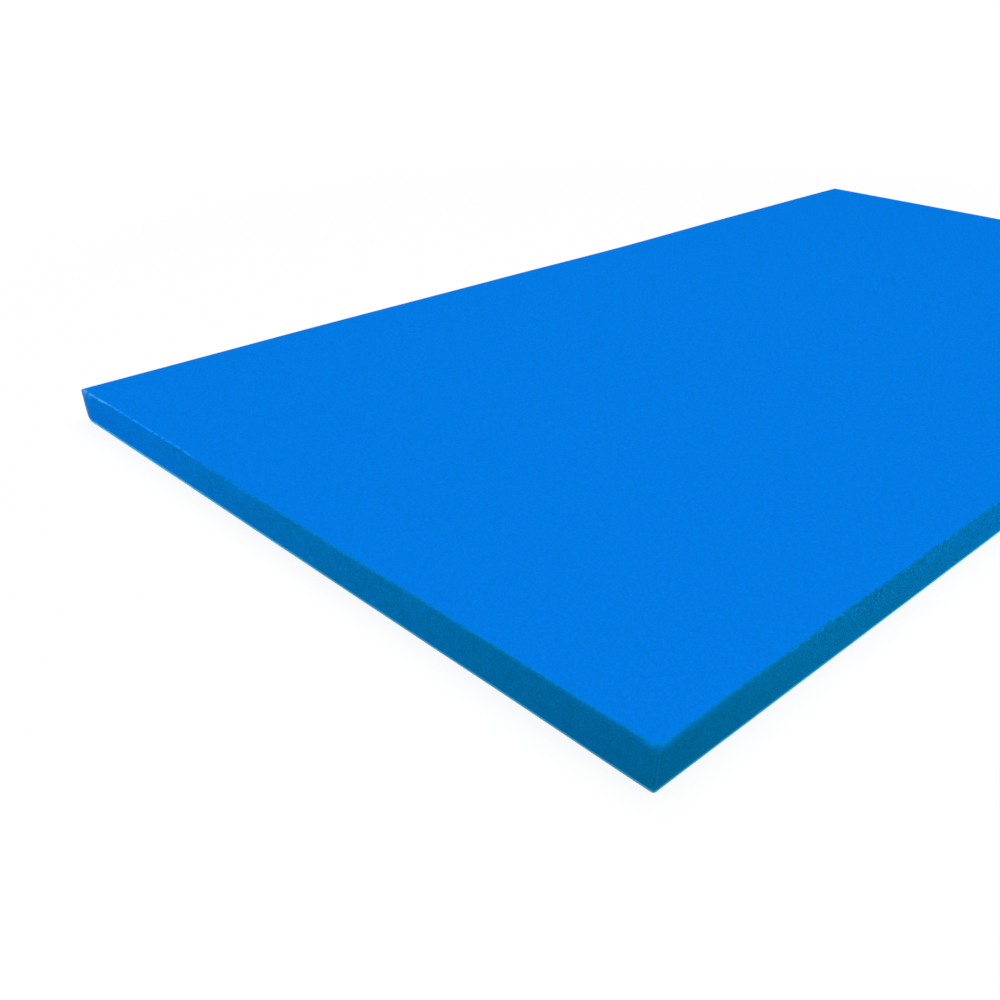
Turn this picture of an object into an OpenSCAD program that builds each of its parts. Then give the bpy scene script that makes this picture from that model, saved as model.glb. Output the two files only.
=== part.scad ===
// Craft foam sheet: one slab of closed-cell foam, cut to size and lying flat.
// The origin is on the underside, at the middle of the sheet. X runs along its length and Z is up.

/* [Sheet] */
// Length of the sheet
sheet_l = 600; // [200:10:1200]
// Width of the sheet
sheet_w = 300; // [100:10:600]
// Thickness from the underside to the top skin
sheet_t = 15; // [6:1:40]

/* [Cut edge] */
// Plan radius of the four corners, where the sheet is widest
corner_r = 1.6; // [1.6:0.1:12]
// Radius of the skin where it rolls over into the cut
roll_r = 1.0; // [0.5:0.1:1.5]
// Radius at the foot of the cut
foot_r = 0.5; // [0.2:0.1:0.8]
// How far the foot of the cut lies inside its top, because the blade leans
undercut = 0.6; // [0:0.1:0.7]

/* [Hidden] */
$fn = 64;

// Straight stretches of the rim, between the axes of the corners
run_l = sheet_l - 2 * corner_r;
run_w = sheet_w - 2 * corner_r;

// Centres of the two rounds of the edge, out from a corner's axis and up from the underside
roll = [corner_r - roll_r, sheet_t - roll_r];
foot = [corner_r - undercut - foot_r, foot_r];

// The cut face touches both rounds, so its direction follows from them
rise = roll - foot;
lean = acos((foot_r - roll_r) / norm(rise)) - atan2(rise.y, rise.x);
outward = [cos(lean), -sin(lean)];

// Half of the sheet's section from a corner's axis out: the skin rolls over, and the cut leans in
module edge_section() {
    intersection() {
        union() {
            polygon([
                [0, 0],
                [foot.x, 0],
                foot + foot_r * outward,
                roll + roll_r * outward,
                [roll.x, sheet_t],
                [0, sheet_t]
            ]);
            translate(roll) circle(roll_r);
            translate(foot) circle(foot_r);
        }
        translate([0, -corner_r]) square([2 * corner_r, sheet_t + 2 * corner_r]);
    }
}

// One turn of the rim round a corner, with the straight run that follows it
module rim(run) {
    rotate_extrude(angle = 90) edge_section();
    rotate([90, 0, 0]) linear_extrude(run) edge_section();
}

// Flat foam inside the rim
module field() {
    translate([-run_l / 2, -run_w / 2, 0]) cube([run_l, run_w, sheet_t]);
}

module foam_sheet() {
    color("#037be4") {
        field();
        translate([run_l / 2, run_w / 2]) rim(run_w);
        translate([-run_l / 2, run_w / 2]) rotate(90) rim(run_l);
        translate([-run_l / 2, -run_w / 2]) rotate(180) rim(run_w);
        translate([run_l / 2, -run_w / 2]) rotate(270) rim(run_l);
    }
}

foam_sheet();
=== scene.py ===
"""A craft foam sheet: one slab of closed-cell foam, cut to size and lying flat.

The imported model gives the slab's box. Here the slab is modelled as a soft body, with skins that roll
over into leaning cuts and cells that the blade has opened. It then gets its finish, and stands in a
small plain studio.
"""

import logging
import math
from dataclasses import dataclass
from enum import Enum
from typing import Callable, Optional

import bmesh
import bpy
from mathutils import Matrix, Vector


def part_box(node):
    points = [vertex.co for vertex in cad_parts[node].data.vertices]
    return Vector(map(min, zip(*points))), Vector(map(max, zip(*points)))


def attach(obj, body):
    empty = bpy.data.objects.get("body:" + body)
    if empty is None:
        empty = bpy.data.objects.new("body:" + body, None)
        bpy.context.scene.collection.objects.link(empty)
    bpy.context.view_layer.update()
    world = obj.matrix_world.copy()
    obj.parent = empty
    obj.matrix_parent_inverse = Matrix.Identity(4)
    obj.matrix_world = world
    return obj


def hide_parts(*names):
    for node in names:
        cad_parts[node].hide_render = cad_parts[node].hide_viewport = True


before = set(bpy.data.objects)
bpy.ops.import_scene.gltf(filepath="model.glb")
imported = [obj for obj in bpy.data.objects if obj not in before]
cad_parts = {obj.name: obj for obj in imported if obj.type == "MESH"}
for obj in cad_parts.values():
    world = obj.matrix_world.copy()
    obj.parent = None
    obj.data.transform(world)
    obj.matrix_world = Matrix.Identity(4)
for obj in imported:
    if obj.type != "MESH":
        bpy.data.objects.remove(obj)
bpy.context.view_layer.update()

MM = 0.001
TOLERANCE = 0.001 * MM
NODE = "foam_sheet"
SKIN_SHARE = "skin_share"
CREASE_SHARE = "crease_share"
LOG = logging.getLogger(NODE)


class Side(Enum):
    """The four cut sides of the sheet, each with the direction that it faces."""

    LEFT_END = (-1, 0)
    RIGHT_END = (1, 0)
    NEAR_SIDE = (0, -1)
    FAR_SIDE = (0, 1)


class Edge(Enum):
    """The two edges of a cut."""

    TOP = "top"
    FOOT = "foot"


# ---------------------------------------------------------------------------------------------------
# Measuring, selecting and editing
# ---------------------------------------------------------------------------------------------------


def progress(value: float, start: float, end: float) -> float:
    """How far a value has come from a start to an end, from 0 to 1."""
    return min(max((value - start) / (end - start), 0.0), 1.0)


def edit_alone(piece: bpy.types.Object, mode: str) -> None:
    """Opens one piece in edit mode, with nothing else selected.

    Args:
        piece: The mesh object to edit.
        mode: The kind of element to select: VERT, EDGE or FACE.
    """
    bpy.ops.object.select_all(action="DESELECT")
    piece.select_set(True)
    bpy.context.view_layer.objects.active = piece
    bpy.ops.object.mode_set(mode="EDIT")
    bpy.ops.mesh.select_mode(type=mode)
    bpy.ops.mesh.select_all(action="DESELECT")


def pick(piece: bpy.types.Object, kind: str, wanted: Callable[..., bool]) -> int:
    """Selects the elements that pass a test, and nothing else.

    Args:
        piece: The mesh object, in edit mode.
        kind: The elements to go through: verts, edges or faces.
        wanted: The test, which gets one element.

    Returns:
        How many elements were selected.
    """
    bpy.ops.mesh.select_mode(type={"verts": "VERT", "edges": "EDGE", "faces": "FACE"}[kind])
    bpy.ops.mesh.select_all(action="DESELECT")
    shape = bmesh.from_edit_mesh(piece.data)
    found = [element for element in getattr(shape, kind) if wanted(element)]
    for element in found:
        element.select_set(True)
    bmesh.update_edit_mesh(piece.data, loop_triangles=False, destructive=False)
    return len(found)


# ---------------------------------------------------------------------------------------------------
# The sheet
# ---------------------------------------------------------------------------------------------------


@dataclass(frozen=True)
class Relief:
    """One layer of real unevenness in the foam, pressed into its true surface.

    Attributes:
        name: What the layer is.
        kind: Blender's kind of texture, such as CLOUDS or VORONOI.
        grain: Size of its marks, in metres.
        depth: How deep it goes, in metres.
        where: The vertex group that it works on.
        direction: NORMAL, or the axis that it moves along.
        octaves: How many finer layers a cloud adds to itself.
        contrast: How sharply its marks stand out.
        middle: The texture's value that leaves the surface where it is.
    """

    name: str
    kind: str
    grain: float
    depth: float
    where: str
    direction: str = "NORMAL"
    octaves: int = 1
    contrast: float = 1.0
    middle: float = 0.5

    def texture(self) -> bpy.types.Texture:
        """Makes the layer's texture.

        Returns:
            The texture, ready for a Displace modifier.
        """
        made = bpy.data.textures.new(self.name, type=self.kind)
        made.noise_scale = self.grain
        made.contrast = self.contrast
        if self.kind == "CLOUDS":
            made.noise_depth = self.octaves
        return made

    def press(self, piece: bpy.types.Object) -> None:
        """Presses the layer into a piece and applies it.

        Args:
            piece: The mesh object, in object mode and active.
        """
        layer = piece.modifiers.new(self.name, "DISPLACE")
        layer.texture = self.texture()
        layer.texture_coords = "LOCAL"
        layer.direction = self.direction
        layer.mid_level = self.middle
        layer.strength = self.depth
        layer.vertex_group = self.where
        bpy.ops.object.modifier_apply(modifier=layer.name)


@dataclass(frozen=True)
class Pull:
    """One soft pull on an edge of the slab: a hand-held blade never runs quite straight.

    All its lengths are in millimetres.

    Attributes:
        edge: The edge that it takes hold of.
        place: Where it does so, in plan.
        move: How far that place goes, in plan.
        reach: How far round it the foam goes along.
    """

    edge: Edge
    place: tuple[float, float]
    move: tuple[float, float]
    reach: float

    def draw(self, piece: bpy.types.Object, heights: dict[Edge, float]) -> None:
        """Draws the foam along, with the place's nearest vertex in hand.

        Args:
            piece: The mesh object, in edit mode.
            heights: The height of each edge, in metres.
        """
        place = Vector((self.place[0] * MM, self.place[1] * MM, heights[self.edge]))
        held = min(bmesh.from_edit_mesh(piece.data).verts, key=lambda vert: (vert.co - place).length)
        pick(piece, "verts", lambda vert: vert.index == held.index)
        bpy.ops.transform.translate(
            value=(self.move[0] * MM, self.move[1] * MM, 0.0),
            use_proportional_edit=True,
            proportional_edit_falloff="SMOOTH",
            proportional_size=self.reach * MM,
        )


class Corner(Enum):
    """The four corners of the sheet, each with the way that it points in plan."""

    NEAR_LEFT = (-1, -1)
    NEAR_RIGHT = (1, -1)
    FAR_RIGHT = (1, 1)
    FAR_LEFT = (-1, 1)

    def holds(self, place: Vector) -> bool:
        """Whether a place is in this corner's quarter of a plan about the origin."""
        return place.x * self.value[0] > 0 and place.y * self.value[1] > 0


@dataclass(frozen=True)
class Level:
    """One level line round the sheet, between its foot and its top skin.

    Attributes:
        height: How high it lies above the underside.
        lean_share: How much of each side's lean it has, 1 at the foot and 0 above the cut.
        inset: How far it lies inside the cut face besides.
    """

    height: float
    lean_share: float
    inset: float


@dataclass(frozen=True)
class Fades:
    """How the slab's unevenness fades over it.

    Attributes:
        cut: How far from the foot and from the skin a cut's relief is full.
        crease: How far down the skin's crease has ended, and how far down it is full.
        slack: How far in from the sides the skin starts to be slack, and is fully so.
        top: How far down the cut the top edges' relief has shrunk to about a third.
        beside: How far in from its side that relief has ended, and how far in it is full.
        ragged: How far along the near side it is full.
        least_ragged: How strong it is there from the start.
    """

    cut: float = 2.0 * MM
    crease: tuple[float, float] = (0.5 * MM, 0.1 * MM)
    slack: tuple[float, float] = (6.0 * MM, 36.0 * MM)
    top: float = 3.0 * MM
    beside: tuple[float, float] = (4.0 * MM, 1.0 * MM)
    ragged: float = 90.0 * MM
    least_ragged: float = 0.3


@dataclass
class FoamSheet:
    """The slab of foam: its form, its unevenness and its place.

    Attributes:
        low: Lowest corner of the slab's box.
        high: Highest corner of the slab's box.
        corner_radius: Plan radius of the corners.
        crisp_radius: Plan radius of the far left corner, which is still crisp.
        worn_radius: Plan radius of the top skin at the near left corner, which is the most worn.
        worn_depth: How far down that wear reaches, most of it at the top.
        foot_wear: Plan radius of the foot at the far left corner, whose foot is worn instead.
        foot_wear_height: How far up that wear reaches.
        lip_radius: Radius at which the cut turns in below the top skin.
        lip_turn: How far it turns there, in radians.
        crease: Width of the rounded crease between that lip and the skin.
        skin_sag: How far the skin sags at its very edge.
        foot_radius: Radius at the foot of the cut.
        end_lean: How far the foot of the left end lies inside its top.
        side_lean: The same for the near long side.
        hidden_lean: The same for the two sides that face away.
        column: Spacing of the rim's columns of vertices.
        row: Spacing of its rows down the cut.
        mesh_grid: Spacing of the vertices on the flat skins.
        skin_margin: Width of flat skin between the rim and that grid.
        pulls: The pulls that bend its straight cuts, from the far right corner round to the near side.
        reliefs: The layers of unevenness that are pressed into it.
        fades: How those fade over it.
    """

    low: Vector
    high: Vector
    corner_radius: float = 1.0 * MM
    crisp_radius: float = 0.4 * MM
    worn_radius: float = 3.0 * MM
    worn_depth: float = 3.0 * MM
    foot_wear: float = 2.6 * MM
    foot_wear_height: float = 3.0 * MM
    lip_radius: float = 1.2 * MM
    lip_turn: float = math.radians(48)
    crease: float = 0.30 * MM
    skin_sag: float = 0.004 * MM
    foot_radius: float = 0.25 * MM
    end_lean: float = 1.25 * MM
    side_lean: float = 0.0
    hidden_lean: float = 0.5 * MM
    column: float = 0.8 * MM
    row: float = 0.8 * MM
    mesh_grid: float = 6.0 * MM
    skin_margin: float = 5.0 * MM
    pulls: tuple[Pull, ...] = (
        # The far side swings out towards its right end, and bows in and out on the way.
        Pull(Edge.TOP, (300.0, 150.0), (0.8, 2.2), 250.0),
        Pull(Edge.TOP, (40.0, 150.0), (0.0, -1.0), 100.0),
        Pull(Edge.TOP, (-175.0, 150.0), (0.0, 0.6), 110.0),
        # The foot and the skin of the far left corner don't lie quite over each other.
        Pull(Edge.FOOT, (-300.0, 150.0), (0.35, 0.0), 250.0),
        Pull(Edge.FOOT, (-300.0, 150.0), (0.0, 1.06), 15.0),
        Pull(Edge.TOP, (-300.0, 150.0), (-0.45, 0.0), 16.0),
        # The skin's edge wanders all along the left end.
        Pull(Edge.TOP, (-300.0, 136.5), (-0.55, 0.0), 15.0),
        Pull(Edge.TOP, (-300.0, 74.0), (0.3, 0.0), 22.0),
        Pull(Edge.TOP, (-300.0, 52.0), (-0.5, 0.0), 11.0),
        Pull(Edge.TOP, (-300.0, 28.0), (-0.6, 0.0), 16.0),
        Pull(Edge.TOP, (-300.0, 8.0), (-0.2, 0.0), 16.0),
        Pull(Edge.TOP, (-300.0, -16.0), (-0.27, 0.0), 18.0),
        Pull(Edge.TOP, (-300.0, -32.0), (-0.25, 0.0), 20.0),
        Pull(Edge.TOP, (-300.0, -62.0), (0.25, 0.0), 16.0),
        Pull(Edge.TOP, (-300.0, -92.0), (0.14, 0.0), 24.0),
        Pull(Edge.TOP, (-300.0, -138.0), (0.2, 0.0), 15.0),
        # The near left corner is pushed in a little at its skin, and out at its foot.
        Pull(Edge.FOOT, (-300.0, -150.0), (-0.2, 0.0), 45.0),
        Pull(Edge.TOP, (-300.0, -150.0), (0.4, -0.4), 18.0),
        # The skin's edge wanders on along the near side.
        Pull(Edge.TOP, (-282.0, -150.0), (0.0, -0.2), 12.0),
        Pull(Edge.TOP, (-222.0, -150.0), (0.0, 0.3), 12.0),
        Pull(Edge.TOP, (-203.0, -150.0), (0.0, 0.2), 12.0),
        Pull(Edge.TOP, (-176.0, -150.0), (0.0, -0.15), 12.0),
    )
    reliefs: tuple[Relief, ...] = (
        Relief("blade_wander", "CLOUDS", 14.0 * MM, 0.25 * MM, "cut"),
        Relief("scalloped_side", "CLOUDS", 3.0 * MM, 0.8 * MM, "side_edge", direction="Y", octaves=2),
        Relief("uneven_end", "CLOUDS", 4.0 * MM, 0.4 * MM, "end_edge", direction="X", octaves=2),
        Relief("opened_cells", "CLOUDS", 1.6 * MM, 0.13 * MM, "cut", contrast=1.5),
        Relief("slack_skin", "CLOUDS", 45.0 * MM, 0.15 * MM, "skin", direction="Z", middle=1.0),
    )
    fades: Fades = Fades()

    @property
    def size(self) -> Vector:
        """Length, width and thickness."""
        return self.high - self.low

    @property
    def middle(self) -> Vector:
        """The middle of the slab."""
        return (self.low + self.high) / 2

    def lean(self, side: Side) -> float:
        """How far the foot of one side lies inside its top."""
        known = {Side.LEFT_END: self.end_lean, Side.NEAR_SIDE: self.side_lean}
        return known.get(side, self.hidden_lean)

    def radius_at(self, corner: Corner, level: Level) -> float:
        """Works out the plan radius of one corner at a level.

        Args:
            corner: The corner.
            level: The level.

        Returns:
            The radius.
        """
        if corner is Corner.FAR_LEFT:
            wear = max(1.0 - level.height / self.foot_wear_height, 0.0)
            return self.crisp_radius + (self.foot_wear - self.crisp_radius) * wear**2
        if corner is Corner.NEAR_LEFT:
            wear = max(1.0 - (self.size.z - level.height) / self.worn_depth, 0.0)
            return self.corner_radius + (self.worn_radius - self.corner_radius) * wear**2
        return self.corner_radius

    def levels(self) -> list[Level]:
        """Works out the level lines from the foot up.

        Returns:
            The levels: a round foot, the cut with its worn ends, the lip that turns in and its crease.
        """
        found = []
        foot_steps = 3
        for step in range(foot_steps + 1):
            turn = math.pi / 2 * step / foot_steps
            height = self.foot_radius * (1 - math.cos(turn))
            found.append(Level(height, 1.0, self.foot_radius * (1 - math.sin(turn))))
        lip_start = self.size.z - self.lip_radius * math.sin(self.lip_turn)
        wear_steps = 3
        shares = [step / (wear_steps + 1) for step in range(wear_steps)]
        heights = [self.foot_wear_height * (1 - part) for part in reversed(shares)]
        heights += [self.size.z - self.worn_depth * (1 - part) for part in shares]
        for height in heights:
            found.append(Level(height, (lip_start - height) / (lip_start - self.foot_radius), 0.0))
        lip_steps = 5
        for step in range(lip_steps):
            turn = self.lip_turn * step / lip_steps
            height = lip_start + self.lip_radius * math.sin(turn)
            found.append(Level(height, 0.0, self.lip_radius * (1 - math.cos(turn))))
        lip_inset = self.lip_radius * (1 - math.cos(self.lip_turn))
        crease_drop = self.crease / 6
        found.append(Level(self.size.z - crease_drop, 0.0, lip_inset))
        found.append(Level(self.size.z - crease_drop / 4, 0.0, lip_inset + self.crease / 3))
        found.append(Level(self.size.z - self.skin_sag, 0.0, lip_inset + self.crease))
        found.append(Level(self.size.z, 0.0, lip_inset + 3 * self.crease))
        return found

    def build(self) -> bpy.types.Object:
        """Models the whole sheet.

        Returns:
            The finished mesh object, with its place in its mesh.
        """
        piece = self._stack_levels()
        self._refine_rim(piece)
        self._lay_skins(piece)
        self._weigh(piece)
        self._bend_cuts(piece)
        self._press_relief(piece)
        bpy.ops.object.select_all(action="DESELECT")
        piece.select_set(True)
        bpy.ops.object.shade_smooth()
        return piece

    def _stack_levels(self) -> bpy.types.Object:
        """Lays one rounded outline at each level and bridges each to the next.

        Returns:
            The open rim of the sheet, in edit mode.
        """
        levels = self.levels()
        bpy.ops.object.select_all(action="DESELECT")
        bpy.ops.mesh.primitive_plane_add(size=1)
        piece = bpy.context.object
        piece.name = "foam_slab"
        edit_alone(piece, "VERT")
        bpy.ops.mesh.select_all(action="SELECT")
        self._shape_outline(piece, levels[0])
        for level in levels[1:]:
            bpy.ops.mesh.select_all(action="DESELECT")
            bpy.ops.mesh.primitive_plane_add(size=1)
            self._shape_outline(piece, level)
        pick(piece, "faces", lambda face: True)
        bpy.ops.mesh.delete(type="ONLY_FACE")
        for lower, upper in zip(levels, levels[1:]):
            pick(piece, "edges", lambda edge: self._lies_at(edge, lower) or self._lies_at(edge, upper))
            bpy.ops.mesh.bridge_edge_loops()
        return piece

    def _shape_outline(self, piece: bpy.types.Object, level: Level) -> None:
        """Turns a unit square into one level's outline.

        Args:
            piece: The mesh object, in edit mode, with the square selected.
            level: The level.
        """
        insets = {side: self.lean(side) * level.lean_share + level.inset for side in Side}
        left = self.low.x + insets[Side.LEFT_END]
        right = self.high.x - insets[Side.RIGHT_END]
        near = self.low.y + insets[Side.NEAR_SIDE]
        far = self.high.y - insets[Side.FAR_SIDE]
        height = self.low.z + level.height
        bpy.ops.transform.resize(value=(right - left, far - near, 1), center_override=(0, 0, 0))
        bpy.ops.transform.translate(value=((left + right) / 2, (near + far) / 2, height))
        corner_steps = 8
        for corner in Corner:
            radius = self.radius_at(corner, level)
            pick(piece, "verts", lambda vert: corner.holds(vert.co) and self._is_sharp(vert, level))
            bpy.ops.mesh.bevel(offset=radius, segments=corner_steps, affect="VERTICES", clamp_overlap=False)

    def _is_sharp(self, vert: bmesh.types.BMVert, level: Level) -> bool:
        """Finds out whether a vertex is a corner of a level's outline that is still a right angle.

        Args:
            vert: The vertex.
            level: The level.

        Returns:
            True where it is.
        """
        if abs(vert.co.z - self.low.z - level.height) > TOLERANCE or len(vert.link_edges) != 2:
            return False
        first, second = (edge.other_vert(vert).co - vert.co for edge in vert.link_edges)
        return abs(first.normalized().dot(second.normalized())) < 0.1

    @staticmethod
    def _is_upright(edge: bmesh.types.BMEdge) -> bool:
        """Whether an edge runs up the thickness."""
        run = edge.verts[1].co - edge.verts[0].co
        return abs(run.z) > 0.9 * run.length

    def _lies_at(self, edge: bmesh.types.BMEdge, level: Level) -> bool:
        """Whether both ends of an edge are at a level."""
        height = self.low.z + level.height
        return all(abs(vert.co.z - height) < TOLERANCE for vert in edge.verts)

    def _refine_rim(self, piece: bpy.types.Object) -> None:
        """Divides the rim into columns along its sides and rows down its cuts.

        Args:
            piece: The open rim, in edit mode.
        """
        most_parts = 100
        longest = 1.5 * self.column
        for axis, length in enumerate(self.size.xy):
            columns = round(length / self.column)
            for parts in (most_parts, math.ceil(columns / most_parts)):
                pick(piece, "edges", lambda edge: self._runs_along(edge, axis, longest))
                bpy.ops.mesh.subdivide(number_cuts=parts - 1)
        rows = round((self.size.z - self.worn_depth - self.foot_wear_height) / self.row)
        pick(piece, "edges", lambda edge: self._is_upright(edge) and edge.calc_length() > self.size.z / 2)
        bpy.ops.mesh.subdivide(number_cuts=rows - 1)

    @staticmethod
    def _runs_along(edge: bmesh.types.BMEdge, axis: int, longest: float) -> bool:
        """Whether an edge runs along X or Y and is still longer than it should be."""
        run = edge.verts[1].co - edge.verts[0].co
        return abs(run[axis]) > 0.99 * run.length and run.length > longest

    def _lay_skins(self, piece: bpy.types.Object) -> None:
        """Closes the rim with the top skin and the underside, each on a grid of its own.

        Args:
            piece: The open rim, in edit mode.
        """
        levels = self.levels()
        span = self.size.xy - 2 * Vector((self.skin_margin, self.skin_margin))
        for level in (levels[0], levels[-1]):
            centre = Vector((self.middle.x, self.middle.y, self.low.z + level.height))
            bpy.ops.mesh.select_all(action="DESELECT")
            bpy.ops.mesh.primitive_grid_add(
                x_subdivisions=round(span.x / self.mesh_grid),
                y_subdivisions=round(span.y / self.mesh_grid),
                size=1,
                location=centre,
            )
            bpy.ops.transform.resize(value=(span.x, span.y, 1), center_override=centre)
            pick(piece, "edges", lambda edge: edge.is_boundary and self._lies_at(edge, level))
            bpy.ops.mesh.fill(use_beauty=True)
        bpy.ops.mesh.select_all(action="SELECT")
        bpy.ops.mesh.normals_make_consistent(inside=False)
        bpy.ops.object.mode_set(mode="OBJECT")

    def _plan_inset(self, place: Vector) -> float:
        """How far inside the nearest side of the sheet a place lies, in plan."""
        return min(self.size.x / 2 - abs(place.x), self.size.y / 2 - abs(place.y))

    def _weigh(self, piece: bpy.types.Object) -> None:
        """Marks each vertex with its share in the cut faces, their top edges, the crease and the skins.

        Args:
            piece: The closed slab, in object mode.
        """
        names = ("cut", "side_edge", "end_edge", "skin")
        groups = {name: piece.vertex_groups.new(name=name) for name in names}
        fades = self.fades
        skins, creases = [], []
        for vert in piece.data.vertices:
            height = vert.co.z - self.low.z
            depth = self.high.z - vert.co.z
            off_foot = progress(height, 0.0, fades.cut)
            on_skin = min(depth, height) < 1.5 * self.skin_sag
            skins.append(float(on_skin))
            flat = depth < 0.5 * self.skin_sag
            creases.append(0.0 if flat else progress(depth, *fades.crease))
            if on_skin and depth < height:
                slack = progress(self._plan_inset(vert.co), *fades.slack)
                groups["skin"].add([vert.index], slack, "REPLACE")
            if not on_skin:
                in_cut = off_foot * progress(depth, 0.0, fades.cut)
                groups["cut"].add([vert.index], in_cut, "REPLACE")
            near_top = math.exp(-depth / fades.top) * off_foot
            from_end = vert.co.x - self.low.x
            ragged = max(progress(from_end, 0.0, fades.ragged), fades.least_ragged)
            edges = {"side_edge": (vert.co.y - self.low.y, ragged), "end_edge": (from_end, 1.0)}
            for name, (distance, strength) in edges.items():
                beside = progress(distance, *fades.beside)
                groups[name].add([vert.index], near_top * beside * strength, "REPLACE")
        for name, shares in ((SKIN_SHARE, skins), (CREASE_SHARE, creases)):
            layer = piece.data.attributes.new(name, "FLOAT", "POINT")
            layer.data.foreach_set("value", shares)

    def _bend_cuts(self, piece: bpy.types.Object) -> None:
        """Bends the straight cuts a little, as the blade did.

        Args:
            piece: The closed slab, in object mode.
        """
        edit_alone(piece, "VERT")
        heights = {Edge.TOP: self.high.z, Edge.FOOT: self.low.z}
        for pull in self.pulls:
            pull.draw(piece, heights)
        bpy.ops.object.mode_set(mode="OBJECT")

    def _press_relief(self, piece: bpy.types.Object) -> None:
        """Presses the foam's unevenness into the slab.

        Args:
            piece: The closed slab, in object mode.
        """
        for layer in self.reliefs:
            layer.press(piece)


# ---------------------------------------------------------------------------------------------------
# The finish
# ---------------------------------------------------------------------------------------------------

Colour = tuple[float, float, float]
Socket = bpy.types.NodeSocket


class Weave:
    """A small helper that lays out a material's nodes and their links."""

    def __init__(self, material: bpy.types.Material) -> None:
        """Empties the material's node tree and keeps it.

        Args:
            material: The material to lay out.
        """
        material.use_nodes = True
        self.tree = material.node_tree
        self.tree.nodes.clear()

    def node(self, kind: str, inputs: Optional[dict] = None, **settings: object) -> bpy.types.Node:
        """Adds a node, sets it up and links what feeds it.

        Args:
            kind: The node's type.
            inputs: Its inputs by name or number, each a value or a socket to link.
            settings: Its own settings.

        Returns:
            The node.
        """
        made = self.tree.nodes.new(kind)
        for name, value in settings.items():
            setattr(made, name, value)
        for name, value in (inputs or {}).items():
            if isinstance(value, Socket):
                self.tree.links.new(value, made.inputs[name])
            else:
                made.inputs[name].default_value = value
        return made

    def math(self, operation: str, first: object, second: object, third: object = 0.0) -> Socket:
        """Adds a sum of two or three values, clamped to nothing.

        Args:
            operation: What to do with them, such as MULTIPLY.
            first: A value or a socket.
            second: A value or a socket.
            third: A value or a socket, which MULTIPLY_ADD adds.

        Returns:
            The result's socket.
        """
        inputs = {0: first, 1: second, 2: third}
        return self.node("ShaderNodeMath", inputs, operation=operation).outputs[0]

    def chain(self, operation: str, first: object, *others: object) -> Socket:
        """Joins values one after another by one operation.

        Args:
            operation: How to join them, such as ADD.
            first: The first value or socket.
            others: The ones that follow.

        Returns:
            The result's socket.
        """
        for other in others:
            first = self.math(operation, first, other)
        return first

    def ramp(self, value: object, start: float, end: float, low: float = 0.0, high: float = 1.0) -> Socket:
        """Turns a value into another range, smoothly and clamped at both ends.

        Args:
            value: The socket to read.
            start: Where the ramp starts.
            end: Where it ends.
            low: The result at the start.
            high: The result at the end.

        Returns:
            The result's socket.
        """
        inputs = {"Value": value, "From Min": start, "From Max": end, "To Min": low, "To Max": high}
        return self.node("ShaderNodeMapRange", inputs, interpolation_type="SMOOTHSTEP").outputs["Result"]

    def mix(self, share: object, first: object, second: object) -> Socket:
        """Mixes two colours.

        Args:
            share: How much of the second colour there is, a value or a socket.
            first: The first colour, or a socket.
            second: The second colour, or a socket.

        Returns:
            The result's socket.
        """
        made = self.node("ShaderNodeMix", {0: share}, data_type="RGBA")
        for socket, value in ((made.inputs[6], first), (made.inputs[7], second)):
            if isinstance(value, Socket):
                self.tree.links.new(value, socket)
            else:
                socket.default_value = (*value, 1.0)
        return made.outputs[2]

class Measure(Enum):
    """What the finish follows over the sheet, each with its name in FoamWeave."""

    ALONG_END = "along_end"
    ALONG_SIDE = "along_side"
    OFF_END_FACE = "off_end_face"
    FROM_WORN = "from_worn"
    FROM_WORN_UPRIGHT = "from_worn_upright"
    FROM_CRISP = "from_crisp"
    DEPTH = "depth"
    HEIGHT = "height"
    SKIN = "skin"


class FoamWeave(Weave):
    """The node tree of a sheet's foam, with a socket for each place that its finish follows.

    Attributes:
        where: The place itself.
        crease: How much a place belongs to the crease above a cut.
        skin: How much it belongs to a skin.
        along_end: How far it lies from the near side.
        along_side: How far it lies from the left end.
        off_end_face: The same, from the left end's leaning face.
        from_worn: How far it lies from the worn corner, along both sides.
        from_worn_upright: The same, from that corner's leaning upright.
        from_crisp: How far it lies from the far side, where the crisp corner is.
        depth: How far it lies below the top skin.
        height: How far it lies above the underside.
    """

    def __init__(self, material: bpy.types.Material, sheet: FoamSheet) -> None:
        """Works out the places.

        Args:
            material: The material to lay out.
            sheet: The sheet.
        """
        super().__init__(material)
        self.where = self.node("ShaderNodeTexCoord").outputs["Object"]
        place = self.node("ShaderNodeSeparateXYZ", {0: self.where}).outputs
        self.skin = self.node("ShaderNodeAttribute", attribute_name=SKIN_SHARE).outputs["Fac"]
        self.crease = self.node("ShaderNodeAttribute", attribute_name=CREASE_SHARE).outputs["Fac"]
        self.along_end = self.math("SUBTRACT", place["Y"], sheet.low.y)
        self.along_side = self.math("SUBTRACT", place["X"], sheet.low.x)
        self.from_worn = self.math("ADD", self.along_end, self.along_side)
        self.from_crisp = self.math("SUBTRACT", sheet.high.y, place["Y"])
        self.depth = self.math("SUBTRACT", sheet.high.z, place["Z"])
        self.height = self.math("SUBTRACT", place["Z"], sheet.low.z)
        lean = -sheet.end_lean / sheet.size.z
        self.from_worn_upright = self.math("MULTIPLY_ADD", self.depth, lean, self.from_worn)
        self.off_end_face = self.math("MULTIPLY_ADD", self.depth, lean, self.along_side)


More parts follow.
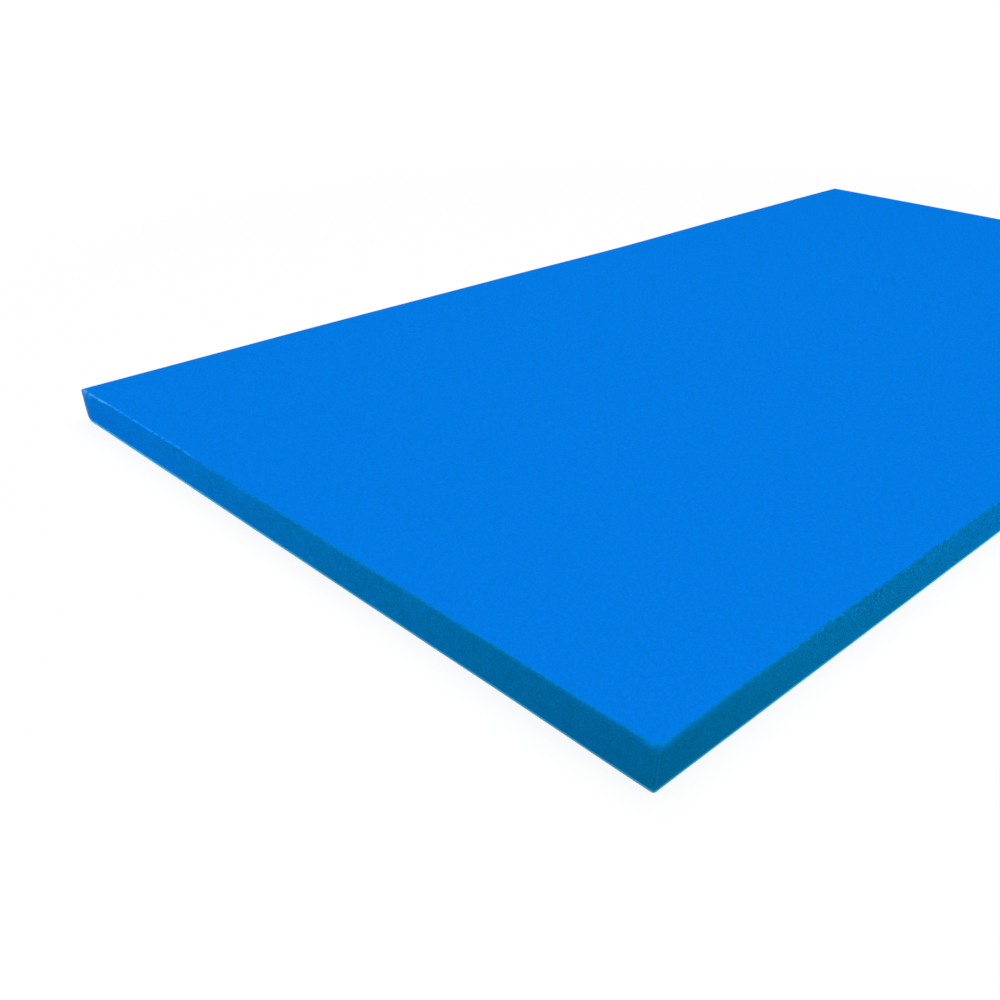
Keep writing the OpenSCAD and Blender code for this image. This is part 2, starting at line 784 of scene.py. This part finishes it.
@dataclass(frozen=True)
class Trend:
    """A smooth change that follows one measure of the sheet.

    Attributes:
        measure: What it follows, in metres apart from the skin's share.
        start: Where it starts.
        end: Where it ends.
        low: Its value on the start's side.
        high: Its value on the end's side.
    """

    measure: Measure
    start: float
    end: float
    low: float = 0.0
    high: float = 1.0

    def lay(self, weave: FoamWeave) -> Socket:
        """Lays the trend out as nodes, and gives its value."""
        return weave.ramp(getattr(weave, self.measure.value), self.start, self.end, self.low, self.high)


@dataclass(frozen=True)
class Patch:
    """A patch of the foam that several trends bound together.

    Attributes:
        name: What it is.
        bounds: The trends, which are multiplied.
        blue: What it adds to the cut's share of blue.
        light: What it adds to the cut's light.
    """

    name: str
    bounds: tuple[Trend, ...]
    blue: float = 0.0
    light: float = 0.0

    def lay(self, weave: FoamWeave) -> Socket:
        """Lays the patch out as nodes.

        Args:
            weave: The tree.

        Returns:
            Its mask's socket, 1 in its middle and 0 outside it.
        """
        mask = weave.chain("MULTIPLY", *(bound.lay(weave) for bound in self.bounds))
        mask.node.label = self.name
        return mask


@dataclass(frozen=True)
class Grain:
    """Soft noise with marks of one size.

    Attributes:
        size: Size of its marks.
        detail: How many finer layers it adds.
        rough: How strong each finer layer is.
        spread: How far about its middle its values are told apart.
    """

    size: float
    detail: float = 1.0
    rough: float = 0.5
    spread: float = 0.5

    def lay(self, weave: FoamWeave, where: Optional[Socket] = None) -> Socket:
        """Lays the noise out as nodes.

        Args:
            weave: The tree.
            where: The coordinates that it follows, unless they are the plain place.

        Returns:
            Its value's socket, about 0.5 in the middle.
        """
        inputs = {
            "Vector": weave.where if where is None else where,
            "Scale": 1.0 / self.size,
            "Detail": self.detail,
            "Roughness": self.rough,
        }
        return weave.node("ShaderNodeTexNoise", inputs).outputs[0]

    def swing(self, weave: FoamWeave, noise: Socket, reach: float = 1.0) -> Socket:
        """Stretches its noise, so that it swings to a reach on both sides of 0."""
        return weave.ramp(noise, 0.5 - self.spread, 0.5 + self.spread, -reach, reach)


@dataclass(frozen=True)
class Scatter:
    """Scattered round marks.

    Attributes:
        spacing: How far apart they are, about.
        radius: How large they are at their edge.
        light: What they add to the cut's light.
    """

    spacing: float
    radius: float
    light: float

    def lay(self, weave: FoamWeave) -> Socket:
        """Lays the marks out as nodes.

        Args:
            weave: The tree.

        Returns:
            Their socket, 1 in the middle of a mark and 0 between them.
        """
        cells = weave.node("ShaderNodeTexVoronoi", {"Vector": weave.where, "Scale": 1.0 / self.spacing})
        edge = self.radius / self.spacing
        return weave.ramp(cells.outputs["Distance"], edge, 0.3 * edge)


@dataclass(frozen=True)
class BladeTicks:
    """The short upright ticks that a blade leaves in the near side, just under the skin.

    Attributes:
        grain: Their noise.
        stretch: How much of its height it keeps before it is drawn out upright.
        patches: The patchy noise that sets how far down they reach.
        patch_reach: How far down its highest values would reach.
        fringe: How far inside that reach they come in, and how far inside they are full.
        faint: What is left of them outside it.
        bounds: What keeps them below the skin and along the near side.
        light: What they add to and take from the light: partly torn cells, and partly painted shade and
            painted light on their dents.
        relief: How deep they go.
    """

    grain: Grain = Grain(1.3 * MM, spread=0.18)
    stretch: float = 0.5
    patches: Grain = Grain(5.0 * MM)
    patch_reach: float = 24.0 * MM
    fringe: tuple[float, float] = (8.5 * MM, 12.0 * MM)
    faint: float = 0.15
    bounds: Patch = Patch(
        "under the lip",
        (
            Trend(Measure.DEPTH, 7.0 * MM, 3.0 * MM),
            Trend(Measure.SKIN, 0.3, 0.0),
            Trend(Measure.ALONG_SIDE, 0.0, 110.0 * MM),
            Trend(Measure.ALONG_SIDE, 150.0 * MM, 185.0 * MM, 1.0, 0.4),
        ),
    )
    # Partly painted shade and painted light: the ticks' dents are also darkened and lightened in the colour.
    light: float = 0.18
    relief: float = 0.12 * MM

    def lay(self, weave: FoamWeave) -> Socket:
        """Lays the ticks out as nodes.

        Args:
            weave: The tree.

        Returns:
            The ticks' socket, from -1 in a dark tick to 1 in a light one, and 0 elsewhere.
        """
        upright = weave.node("ShaderNodeMapping", {"Vector": weave.where, "Scale": (1.0, 1.0, self.stretch)})
        ticks = self.grain.swing(weave, self.grain.lay(weave, upright.outputs[0]))
        above = weave.math("MULTIPLY", weave.depth, -1.0)
        reach = weave.math("MULTIPLY_ADD", self.patches.lay(weave), self.patch_reach, above)
        inside = weave.ramp(reach, *self.fringe, self.faint, 1.0)
        return weave.chain("MULTIPLY", ticks, inside, self.bounds.lay(weave))


@dataclass(frozen=True)
class CutColour:
    """The colour of the cuts: a darker teal turning to blue, mottled, grainy and pitted; the turn is partly
    the cut's own tint and partly painted shade towards the worn corner.

    Attributes:
        teal: The colour at the worn corner's near side.
        blue: The colour that it turns to along the sheet.
        most_blue: The share of blue that nothing passes.
        end_rise: The power at which blue grows along the left end, and what it adds at its end.
        side_rise: The same along the near side.
        clouds: The mottling.
        cloud_blue: How much it adds to and takes from the share of blue.
        cloud_light: The same for the light.
        cells: The speckle of the cells.
        cell_blue: How much of it shows in the blue.
        clear_near: How clearly the cells show from the worn corner on.
        clear_along: How much more clearly they show along the near side.
        off_worn: How far the worn corner's plain teal has given way to the mottling.
        blues: The trends that add to the share of blue.
        lights: The trends that make up the cut's brightness: painted shade towards the worn corner and just
            under the lip, painted light towards the foot and on the worn upright, and a little darker away
            from the left end and towards the far side.
        patches: The patches that change both: painted highlights under the worn lip and at its tip, painted
            shade beside the worn upright, and a lighter upper near side.
        pits: The pits, darkened as painted shade in them.
        specks: The pale specks, which show where the cells are clear along the near side.
    """

    # The teal is darker than the blue: the turn from teal at the worn corner to blue along the sheet is
    # partly the cut's own tint and partly painted shade towards that corner.
    teal: Colour = (0.0005, 0.205, 0.478)
    blue: Colour = (0.0005, 0.205, 0.78)
    most_blue: float = 0.95
    end_rise: tuple[float, float] = (2.1, 1.0)
    side_rise: tuple[float, float] = (2.6, 5.7)
    clouds: Grain = Grain(5.0 * MM, spread=0.3)
    cloud_blue: float = 0.1
    cloud_light: float = 0.03
    cells: Grain = Grain(0.6 * MM, rough=1.0, spread=0.22)
    cell_blue: float = 0.8
    clear_near: Trend = Trend(Measure.FROM_WORN, 0.0, 120.0 * MM, 0.11, 0.17)
    clear_along: Trend = Trend(Measure.ALONG_SIDE, 20.0 * MM, 115.0 * MM, 0.0, 0.19)
    off_worn: Trend = Trend(Measure.FROM_WORN, 20.0 * MM, 150.0 * MM, 0.35, 1.0)
    blues: tuple[Trend, ...] = (
        Trend(Measure.ALONG_END, 1.0 * MM, 5.0 * MM, 0.0, 0.11),
        Trend(Measure.ALONG_END, 10.0 * MM, 40.0 * MM, 0.0, 0.04),
    )
    lights: tuple[Trend, ...] = (
        # Painted shade: the cut is darker towards the worn corner.
        Trend(Measure.FROM_WORN, 0.0, 100.0 * MM, 0.90, 1.0),
        Trend(Measure.ALONG_SIDE, 50.0 * MM, 160.0 * MM, 0.0, -0.03),
        Trend(Measure.FROM_CRISP, 60.0 * MM, 5.0 * MM, 0.0, -0.05),
        # Painted light: the cut is lighter towards the foot, against the shade there.
        Trend(Measure.HEIGHT, 6.0 * MM, 1.0 * MM, 0.0, 0.06),
        # Painted shade: the cut is darker just under the lip, against the light that the lip catches.
        Trend(Measure.DEPTH, 1.4 * MM, 0.3 * MM, 0.0, -0.07),
        # Painted light: the worn corner's upright is lighter, against the shade on its rounding.
        Trend(Measure.FROM_WORN_UPRIGHT, 1.05 * MM, 0.6 * MM, 0.0, 0.27),
    )
    patches: tuple[Patch, ...] = (
        # Painted highlight: a lighter, bluer band under the lip at the worn corner.
        Patch(
            "chafed under the worn lip",
            (
                Trend(Measure.FROM_WORN, 40.0 * MM, 12.0 * MM),
                Trend(Measure.ALONG_END, 4.0 * MM, 1.0 * MM, 0.4, 1.0),
                Trend(Measure.DEPTH, 2.7 * MM, 1.4 * MM),
            ),
            blue=0.15,
            light=0.13,
        ),
        Patch(
            "upper near side",
            (
                Trend(Measure.ALONG_END, 3.0 * MM, 1.0 * MM),
                Trend(Measure.DEPTH, 9.0 * MM, 2.0 * MM),
                Trend(Measure.ALONG_SIDE, 15.0 * MM, 40.0 * MM),
            ),
            blue=0.03,
            light=0.04,
        ),
        # Painted highlight: a lighter crescent just under the skin at the worn tip.
        Patch(
            "worn tip",
            (Trend(Measure.FROM_WORN, 7.5 * MM, 3.5 * MM), Trend(Measure.DEPTH, 1.8 * MM, 1.0 * MM)),
            blue=0.10,
            light=0.10,
        ),
        # Painted shade: a darker strip on the left end beside the worn upright.
        Patch(
            "beside the worn upright",
            (Trend(Measure.ALONG_SIDE, 5.0 * MM, 1.0 * MM), Trend(Measure.ALONG_END, 1.5 * MM, 0.6 * MM)),
            light=-0.09,
        ),
    )
    # Painted shade: the pits are darkened in the colour.
    pits: Scatter = Scatter(10.0 * MM, 0.9 * MM, -0.45)
    specks: Scatter = Scatter(4.0 * MM, 0.5 * MM, 2.0)

    def lay(self, weave: FoamWeave, sheet: FoamSheet, ticks: Socket) -> Socket:
        """Lays the colour out as nodes.

        Args:
            weave: The tree.
            sheet: The sheet.
            ticks: What the blade's ticks add to the light.

        Returns:
            The colour's socket.
        """
        clouds = self.clouds.lay(weave)
        clear_along = self.clear_along.lay(weave)
        clarity = weave.math("ADD", clear_along, self.clear_near.lay(weave))
        speckle = weave.math("MULTIPLY", self.cells.swing(weave, self.cells.lay(weave)), clarity)
        cloud_blue = self.clouds.swing(weave, clouds, self.cloud_blue)
        blue = weave.math("MULTIPLY_ADD", speckle, self.cell_blue, cloud_blue)
        blue = weave.math("MULTIPLY", blue, self.off_worn.lay(weave))
        sides = (
            (weave.along_end, sheet.size.y, self.end_rise),
            (weave.along_side, sheet.size.x, self.side_rise),
        )
        for along, length, (power, added) in sides:
            rise = weave.math("POWER", weave.math("DIVIDE", along, length), power)
            blue = weave.math("MULTIPLY_ADD", rise, added, blue)
        blue = weave.chain("ADD", blue, *(trend.lay(weave) for trend in self.blues))
        cloud_light = self.clouds.swing(weave, clouds, self.cloud_light)
        trends = (trend.lay(weave) for trend in self.lights)
        light = weave.chain("ADD", speckle, cloud_light, ticks, *trends)
        for patch in self.patches:
            mask = patch.lay(weave)
            blue = weave.math("MULTIPLY_ADD", mask, patch.blue, blue)
            light = weave.math("MULTIPLY_ADD", mask, patch.light, light)
        # Painted shade in the pits.
        light = weave.math("MULTIPLY_ADD", self.pits.lay(weave), self.pits.light, light)
        specks = weave.math("MULTIPLY", self.specks.lay(weave), clear_along)
        light = weave.math("MULTIPLY_ADD", specks, self.specks.light, light)
        # Teal towards the worn corner and blue along the sheet: partly the cut's own tint, partly painted
        # shade.
        tint = weave.mix(weave.math("MINIMUM", blue, self.most_blue), self.teal, self.blue)
        return weave.node("ShaderNodeVectorMath", {0: tint, "Scale": light}, operation="SCALE").outputs[0]


@dataclass(frozen=True)
class EdgeHighlights:
    """The painted highlights that pale the edges, along the skin's crease and on the crisp corner, and the
    painted light along the foot.

    Attributes:
        crease_highlight: The colour of the painted highlight along the skin's crease.
        corner_highlight: The colour of the painted highlight below that edge, at the crisp corner.
        upright_highlight: The colour of the painted highlight on the crisp corner's upright edge.
        foot: The colour of the painted light along the foot.
        highlight_breakup: The ragged marks that break these painted highlights up.
        left_end: What keeps it to the left end.
        off_skin: What keeps the painted highlights below the crease and on the upright to the cut.
        crease_highlight_stretch: How far from the crisp corner the skin's crease carries the painted
            highlight.
        fullness: How much fuller the highlight line gets towards that corner.
        line_breaks: The values of the marks between which the line comes in.
        line_start: How much of its stretch the line needs to come in.
        line_strength: How strongly it shows.
        pale_stretch: How far from the corner the line is as pale as the painted highlight below it.
        corner_highlight_spread: How the painted highlight below the crease thins out from the corner.
        corner_highlight_breaks: The values of the marks between which it comes in.
        corner_highlight_depth: How it thins out below the skin.
        upright: The crisp corner's upright, where its highlight is painted.
        upright_fade: What each metre of depth adds to the marks there, so that they fade downwards.
        upright_breaks: The values between which the painted highlight comes in, and how much shows then.
        foot_width: How the painted light along the foot narrows along the left end.
        foot_reach: How high that painted light reaches, and how high it is full.
        off_underside: What keeps it off the underside.
    """

    crease_highlight: Colour = (0.005, 0.26, 1.0)
    corner_highlight: Colour = (0.05, 0.35, 0.97)
    upright_highlight: Colour = (0.045, 0.26, 0.65)
    foot: Colour = (0.09, 0.64, 1.0)
    highlight_breakup: Grain = Grain(2.2 * MM, detail=2.0, rough=0.7)
    left_end: Trend = Trend(Measure.ALONG_SIDE, 5.0 * MM, 2.0 * MM)
    off_skin: Trend = Trend(Measure.SKIN, 0.5, 0.0)
    crease_highlight_stretch: Trend = Trend(Measure.FROM_CRISP, 97.0 * MM, 80.0 * MM)
    fullness: float = 0.30
    line_breaks: tuple[float, float] = (0.60, 0.95)
    line_start: float = 0.3
    line_strength: float = 1.4
    pale_stretch: Trend = Trend(Measure.FROM_CRISP, 18.0 * MM, 28.0 * MM)
    corner_highlight_spread: Trend = Trend(Measure.FROM_CRISP, 16.0 * MM, 2.0 * MM, -0.45, 0.10)
    corner_highlight_breaks: tuple[float, float] = (0.30, 0.60)
    corner_highlight_depth: Trend = Trend(Measure.DEPTH, 3.5 * MM, 0.3 * MM, 0.0, 0.7)
    upright: Patch = Patch(
        "scuffed upright",
        (Trend(Measure.FROM_CRISP, 3.2 * MM, 0.8 * MM), Trend(Measure.OFF_END_FACE, 1.8 * MM, 0.9 * MM)),
    )
    upright_fade: float = -0.02 / MM
    upright_breaks: tuple[float, float, float, float] = (0.15, 0.45, 0.35, 0.95)
    foot_width: Trend = Trend(Measure.FROM_CRISP, 300.0 * MM, 0.0, 1.0, 0.7)
    foot_reach: tuple[float, float] = (1.3 * MM, 0.25 * MM)
    off_underside: Trend = Trend(Measure.SKIN, 1.0, 0.0)

    def lay(self, weave: FoamWeave, colour: Socket) -> Socket:
        """Lays the painted highlights and the painted light along the foot out as nodes, over the colour so
        far.

        Args:
            weave: The tree.
            colour: The colour so far.

        Returns:
            The colour's socket.
        """
        ragged = self.highlight_breakup.lay(weave)
        at_end = self.left_end.lay(weave)
        colour = self._paint_crease_highlight(weave, colour, ragged, at_end)
        colour = self._paint_corner_highlights(weave, colour, ragged, at_end)
        # Painted light: a pale light-blue band along the foot, standing in for the glow of the bright floor
        # round it.
        height = weave.math("MULTIPLY", weave.height, self.foot_width.lay(weave))
        foot_light_mask = weave.ramp(height, *self.foot_reach)
        foot_light_mask = weave.math("MULTIPLY", foot_light_mask, self.off_underside.lay(weave))
        return weave.mix(foot_light_mask, colour, self.foot)

    def _paint_crease_highlight(self, weave: FoamWeave, colour: Socket, ragged: Socket, at_end: Socket) -> Socket:
        """Paints a pale, broken highlight along the skin's crease near the crisp corner.

        Args:
            weave: The tree.
            colour: The colour so far.
            ragged: The ragged marks.
            at_end: The mask of the left end.

        Returns:
            The colour's socket.
        """
        # Painted highlight: a pale, broken line along the skin's crease near the crisp corner, as if the
        # edge caught the light.
        stretch = self.crease_highlight_stretch.lay(weave)
        broken = weave.ramp(weave.math("MULTIPLY_ADD", stretch, self.fullness, ragged), *self.line_breaks)
        started = weave.ramp(stretch, 0.0, self.line_start)
        edge = weave.chain("MULTIPLY", weave.crease, self.line_strength, broken, started, at_end)
        line = weave.mix(self.pale_stretch.lay(weave), self.corner_highlight, self.crease_highlight)
        return weave.mix(edge, colour, line)

    def _paint_corner_highlights(self, weave: FoamWeave, colour: Socket, ragged: Socket, at_end: Socket) -> Socket:
        """Paints a highlight on the cut below the crisp corner's skin, and another down its upright edge.

        Args:
            weave: The tree.
            colour: The colour so far.
            ragged: The ragged marks.
            at_end: The mask of the left end.

        Returns:
            The colour's socket.
        """
        off_skin = self.off_skin.lay(weave)
        below = weave.math("MAXIMUM", weave.crease, off_skin)
        # Painted highlight: a pale patch on the cut just below the crisp corner's skin.
        corner_highlight_mask = weave.math("ADD", ragged, self.corner_highlight_spread.lay(weave))
        corner_highlight_mask = weave.ramp(corner_highlight_mask, *self.corner_highlight_breaks)
        corner_highlight_mask = weave.chain("MULTIPLY", corner_highlight_mask, at_end, below, self.corner_highlight_depth.lay(weave))
        colour = weave.mix(corner_highlight_mask, colour, self.corner_highlight)
        # Painted highlight: pale, greyer marks down the crisp corner's upright edge.
        patchy = weave.math("MULTIPLY_ADD", weave.depth, self.upright_fade, ragged)
        patchy = weave.ramp(patchy, *self.upright_breaks)
        upright_highlight_mask = weave.chain("MULTIPLY", self.upright.lay(weave), patchy, off_skin)
        return weave.mix(upright_highlight_mask, colour, self.upright_highlight)


@dataclass(frozen=True)
class FoamFinish:
    """The foam's finish: a matte blue skin, and cuts that show its cells, with painted shade and painted
    highlights on the cuts and edges.

    Attributes:
        skin_light: The lighter of the skin's two blues.
        skin_dark: The darker of them.
        grain: The skin's grain.
        mottling: How strongly that grain shows in the colour.
        grain_relief: How deep it goes.
        cut: The colour of the cuts.
        ticks: The blade's ticks in them.
        wear: The painted highlights on the edges and the painted light along the foot.
        pores: The open cells on the cuts.
        pore_relief: How deep they go.
        roughness: How rough the foam is all over.
        gloss: How much it shines.
        gloss_tint: The colour of that shine.
    """

    skin_light: Colour = (0.001, 0.220, 0.88)
    skin_dark: Colour = (0.001, 0.176, 0.67)
    grain: Grain = Grain(0.9 * MM, detail=2.0, rough=1.0, spread=0.2)
    mottling: Trend = Trend(Measure.FROM_WORN, 0.0, 700.0 * MM, 0.65, 1.6)
    grain_relief: float = 0.02 * MM
    cut: CutColour = CutColour()
    ticks: BladeTicks = BladeTicks()
    # Painted highlights on the edges and painted light along the foot.
    wear: EdgeHighlights = EdgeHighlights()
    pores: Grain = Grain(0.8 * MM, detail=2.0)
    pore_relief: float = 0.08 * MM
    roughness: float = 0.9
    gloss: float = 0.004
    gloss_tint: Colour = (0.0, 0.5, 1.0)

    def material(self, sheet: FoamSheet) -> bpy.types.Material:
        """Makes the foam's material for a sheet.

        Args:
            sheet: The sheet, which gives the places that the pattern follows.

        Returns:
            The material.
        """
        foam = bpy.data.materials.new("foam")
        weave = FoamWeave(foam, sheet)
        grain = self.grain.lay(weave)
        mottle = self.grain.swing(weave, grain, 0.5)
        mottle = weave.math("MULTIPLY_ADD", mottle, self.mottling.lay(weave), 0.5)
        skin = weave.mix(mottle, self.skin_dark, self.skin_light)
        ticks = self.ticks.lay(weave)
        # The ticks' light and dark go into the cut's colour here, partly as painted shade and painted light
        # on their dents.
        cut = self.cut.lay(weave, sheet, weave.math("MULTIPLY", ticks, self.ticks.light))
        # The edges' painted highlights and the painted light along the foot go over the colour here.
        colour = self.wear.lay(weave, weave.mix(weave.skin, cut, skin))
        pore_relief = weave.ramp(weave.skin, 0.0, 1.0, self.pore_relief, 0.0)
        relief = weave.math("MULTIPLY", self.pores.lay(weave), pore_relief)
        relief = weave.math("MULTIPLY_ADD", grain, self.grain_relief, relief)
        relief = weave.math("MULTIPLY_ADD", ticks, self.ticks.relief, relief)
        bump = weave.node("ShaderNodeBump", {"Height": relief, "Distance": 1.0, "Strength": 1.0})
        shader = weave.node(
            "ShaderNodeBsdfPrincipled",
            {
                "Base Color": colour,
                "Roughness": self.roughness,
                "Specular IOR Level": self.gloss,
                "Specular Tint": (*self.gloss_tint, 1.0),
                "Normal": bump.outputs[0],
            },
        )
        weave.node("ShaderNodeOutputMaterial", {"Surface": shader.outputs[0]})
        return foam


# ---------------------------------------------------------------------------------------------------
# The studio
# ---------------------------------------------------------------------------------------------------


@dataclass(frozen=True)
class Softbox:
    """A soft lamp.

    Attributes:
        name: What it is.
        place: Where its middle is.
        aim: The point that it faces.
        width: Its size from side to side.
        height: Its size from top to bottom.
        power: Its power in watts.
    """

    name: str
    place: tuple[float, float, float]
    aim: tuple[float, float, float]
    width: float
    height: float
    power: float

    def hang(self) -> bpy.types.Object:
        """Hangs the lamp.

        Returns:
            The lamp's object.
        """
        lamp = bpy.data.lights.new(self.name, "AREA")
        lamp.shape = "RECTANGLE"
        lamp.size = self.width
        lamp.size_y = self.height
        lamp.energy = self.power
        hung = bpy.data.objects.new(self.name, lamp)
        bpy.context.scene.collection.objects.link(hung)
        hung.location = self.place
        facing = Vector(self.aim) - Vector(self.place)
        hung.rotation_mode = "QUATERNION"
        hung.rotation_quaternion = facing.to_track_quat("-Z", "Y")
        hung.visible_camera = False
        return hung


@dataclass(frozen=True)
class Studio:
    """A plain room: a pale floor that stays white, an even sky and soft lamps.

    Attributes:
        floor_size: Side of the square floor.
        floor_bounce: How much of its light the floor gives back to the object.
        floor_colour: How much of it shows where the floor is looked at.
        floor_lift: What is added there, so that the floor is white and its shadow pale.
        shadow_reach: How far from the middle that is all that is added.
        plain_reach: How far off enough is added to make it white on its own.
        sky: Brightness of the light from all round.
        lamps: The soft lamps.
    """

    floor_size: float = 12.0
    floor_bounce: float = 0.5
    floor_colour: float = 0.13
    floor_lift: float = 0.87
    shadow_reach: float = 0.4
    plain_reach: float = 1.0
    sky: float = 0.024
    lamps: tuple[Softbox, ...] = (
        Softbox("overhead", (0.0, 0.0, 2.0), (0.0, 0.0, 0.0), 2.5, 2.5, 56.2),
        Softbox("left_strip", (-0.75, 0.45, 0.02), (-0.3, 0.15, 0.01), 0.4, 0.03, 1.17),
        Softbox("long_left_strip", (-1.1, 0.75, 0.03), (-0.3, 0.05, 0.01), 0.8, 0.05, 2.79),
        Softbox("right_strip", (0.07, -0.6, 0.02), (0.07, -0.15, 0.01), 0.4, 0.03, 1.127),
        Softbox("near_fill", (-0.75, -0.6, 0.25), (-0.3, -0.15, 0.0), 0.4, 0.4, 0.71),
    )

    def furnish(self, stand: float) -> None:
        """Lays the floor, sets the sky and hangs the lamps.

        Args:
            stand: Height of the surface that the object lies on.
        """
        self._lay_floor(stand)
        self._set_sky()
        for lamp in self.lamps:
            lamp.hang()

    @staticmethod
    def _looked_at(weave: Weave) -> Socket:
        """Adds a mask that is 1 for what is seen, mirrored or seen through, and 0 for light.

        Args:
            weave: The tree to add it to.

        Returns:
            The mask's socket.
        """
        path = weave.node("ShaderNodeLightPath").outputs
        mirrored = weave.math("MAXIMUM", path["Is Glossy Ray"], path["Is Transmission Ray"])
        return weave.math("MAXIMUM", path["Is Camera Ray"], mirrored)

    def _lay_floor(self, stand: float) -> None:
        """Lays the floor.

        Args:
            stand: Its height.
        """
        bpy.ops.object.select_all(action="DESELECT")
        bpy.ops.mesh.primitive_plane_add(size=self.floor_size, location=(0, 0, stand))
        floor = bpy.context.object
        floor.name = "floor"
        bpy.ops.object.transform_apply(location=True, rotation=True, scale=True)
        paper = bpy.data.materials.new("paper")
        weave = Weave(paper)
        seen = self._looked_at(weave)
        where = weave.node("ShaderNodeTexCoord").outputs["Object"]
        distance = weave.node("ShaderNodeVectorMath", {0: where}, operation="LENGTH").outputs["Value"]
        added = weave.ramp(distance, self.shadow_reach, self.plain_reach, self.floor_lift, 1.0)
        lift = weave.math("MULTIPLY", seen, added)
        share = weave.ramp(seen, 0.0, 1.0, self.floor_bounce, self.floor_colour)
        shade = weave.node("ShaderNodeCombineXYZ", {0: share, 1: share, 2: share}).outputs[0]
        lit = weave.node("ShaderNodeBsdfDiffuse", {"Color": shade})
        glow = weave.node("ShaderNodeEmission", {"Strength": lift})
        both = weave.node("ShaderNodeAddShader", {0: lit.outputs[0], 1: glow.outputs[0]})
        weave.node("ShaderNodeOutputMaterial", {"Surface": both.outputs[0]})
        floor.data.materials.append(paper)

    def _set_sky(self) -> None:
        """Sets an even sky that looks white."""
        world = bpy.data.worlds.new("sky")
        bpy.context.scene.world = world
        weave = Weave(world)
        seen = self._looked_at(weave)
        strength = weave.ramp(seen, 0.0, 1.0, self.sky, 1.0)
        glow = weave.node("ShaderNodeBackground", {"Color": (1.0, 1.0, 1.0, 1.0), "Strength": strength})
        weave.node("ShaderNodeOutputWorld", {"Surface": glow.outputs[0]})


@dataclass(frozen=True)
class Viewpoint:
    """The camera.

    Attributes:
        place: Where it is.
        heading: The way that it looks in plan, in degrees from +X towards +Y.
        dip: How far it looks down, in degrees.
        roll: How far it is turned about its own axis, in degrees.
        lens: Focal length in millimetres, on a 36 mm sensor.
        shift: Sideways shift of the lens, as a share of the picture.
    """

    place: tuple[float, float, float] = (-0.47382, -0.26424, 0.18885)
    heading: float = 46.878
    dip: float = 27.978
    roll: float = -0.796
    lens: float = 39.29
    shift: float = 0.0445

    def set_up(self) -> bpy.types.Object:
        """Makes the camera and makes it the scene's own.

        Returns:
            The camera's object.
        """
        data = bpy.data.cameras.new("camera")
        data.sensor_width = 36.0
        data.lens = self.lens
        data.shift_x = self.shift
        data.clip_start = 10 * MM
        camera = bpy.data.objects.new("camera", data)
        bpy.context.scene.collection.objects.link(camera)
        turn = Matrix.Rotation(math.radians(self.heading - 90), 4, "Z")
        tip = Matrix.Rotation(math.radians(90 - self.dip), 4, "X")
        spin = Matrix.Rotation(math.radians(-self.roll), 4, "Z")
        camera.matrix_world = Matrix.Translation(self.place) @ turn @ tip @ spin
        bpy.context.scene.camera = camera
        return camera


def main() -> None:
    """Builds the sheet, dresses it, and sets the studio and the camera round it."""
    logging.basicConfig(level=logging.INFO, format="%(name)s: %(message)s")
    bpy.context.scene.view_settings.view_transform = "Standard"
    Viewpoint().set_up()
    sheet = FoamSheet(*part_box(NODE))
    piece = sheet.build()
    piece.data.materials.append(FoamFinish().material(sheet))
    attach(piece, "root")
    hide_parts(NODE)
    piece.data.calc_loop_triangles()
    LOG.info("%s: %d triangles", piece.name, len(piece.data.loop_triangles))
    Studio().furnish(sheet.low.z)


if __name__ == "__main__":
    main()
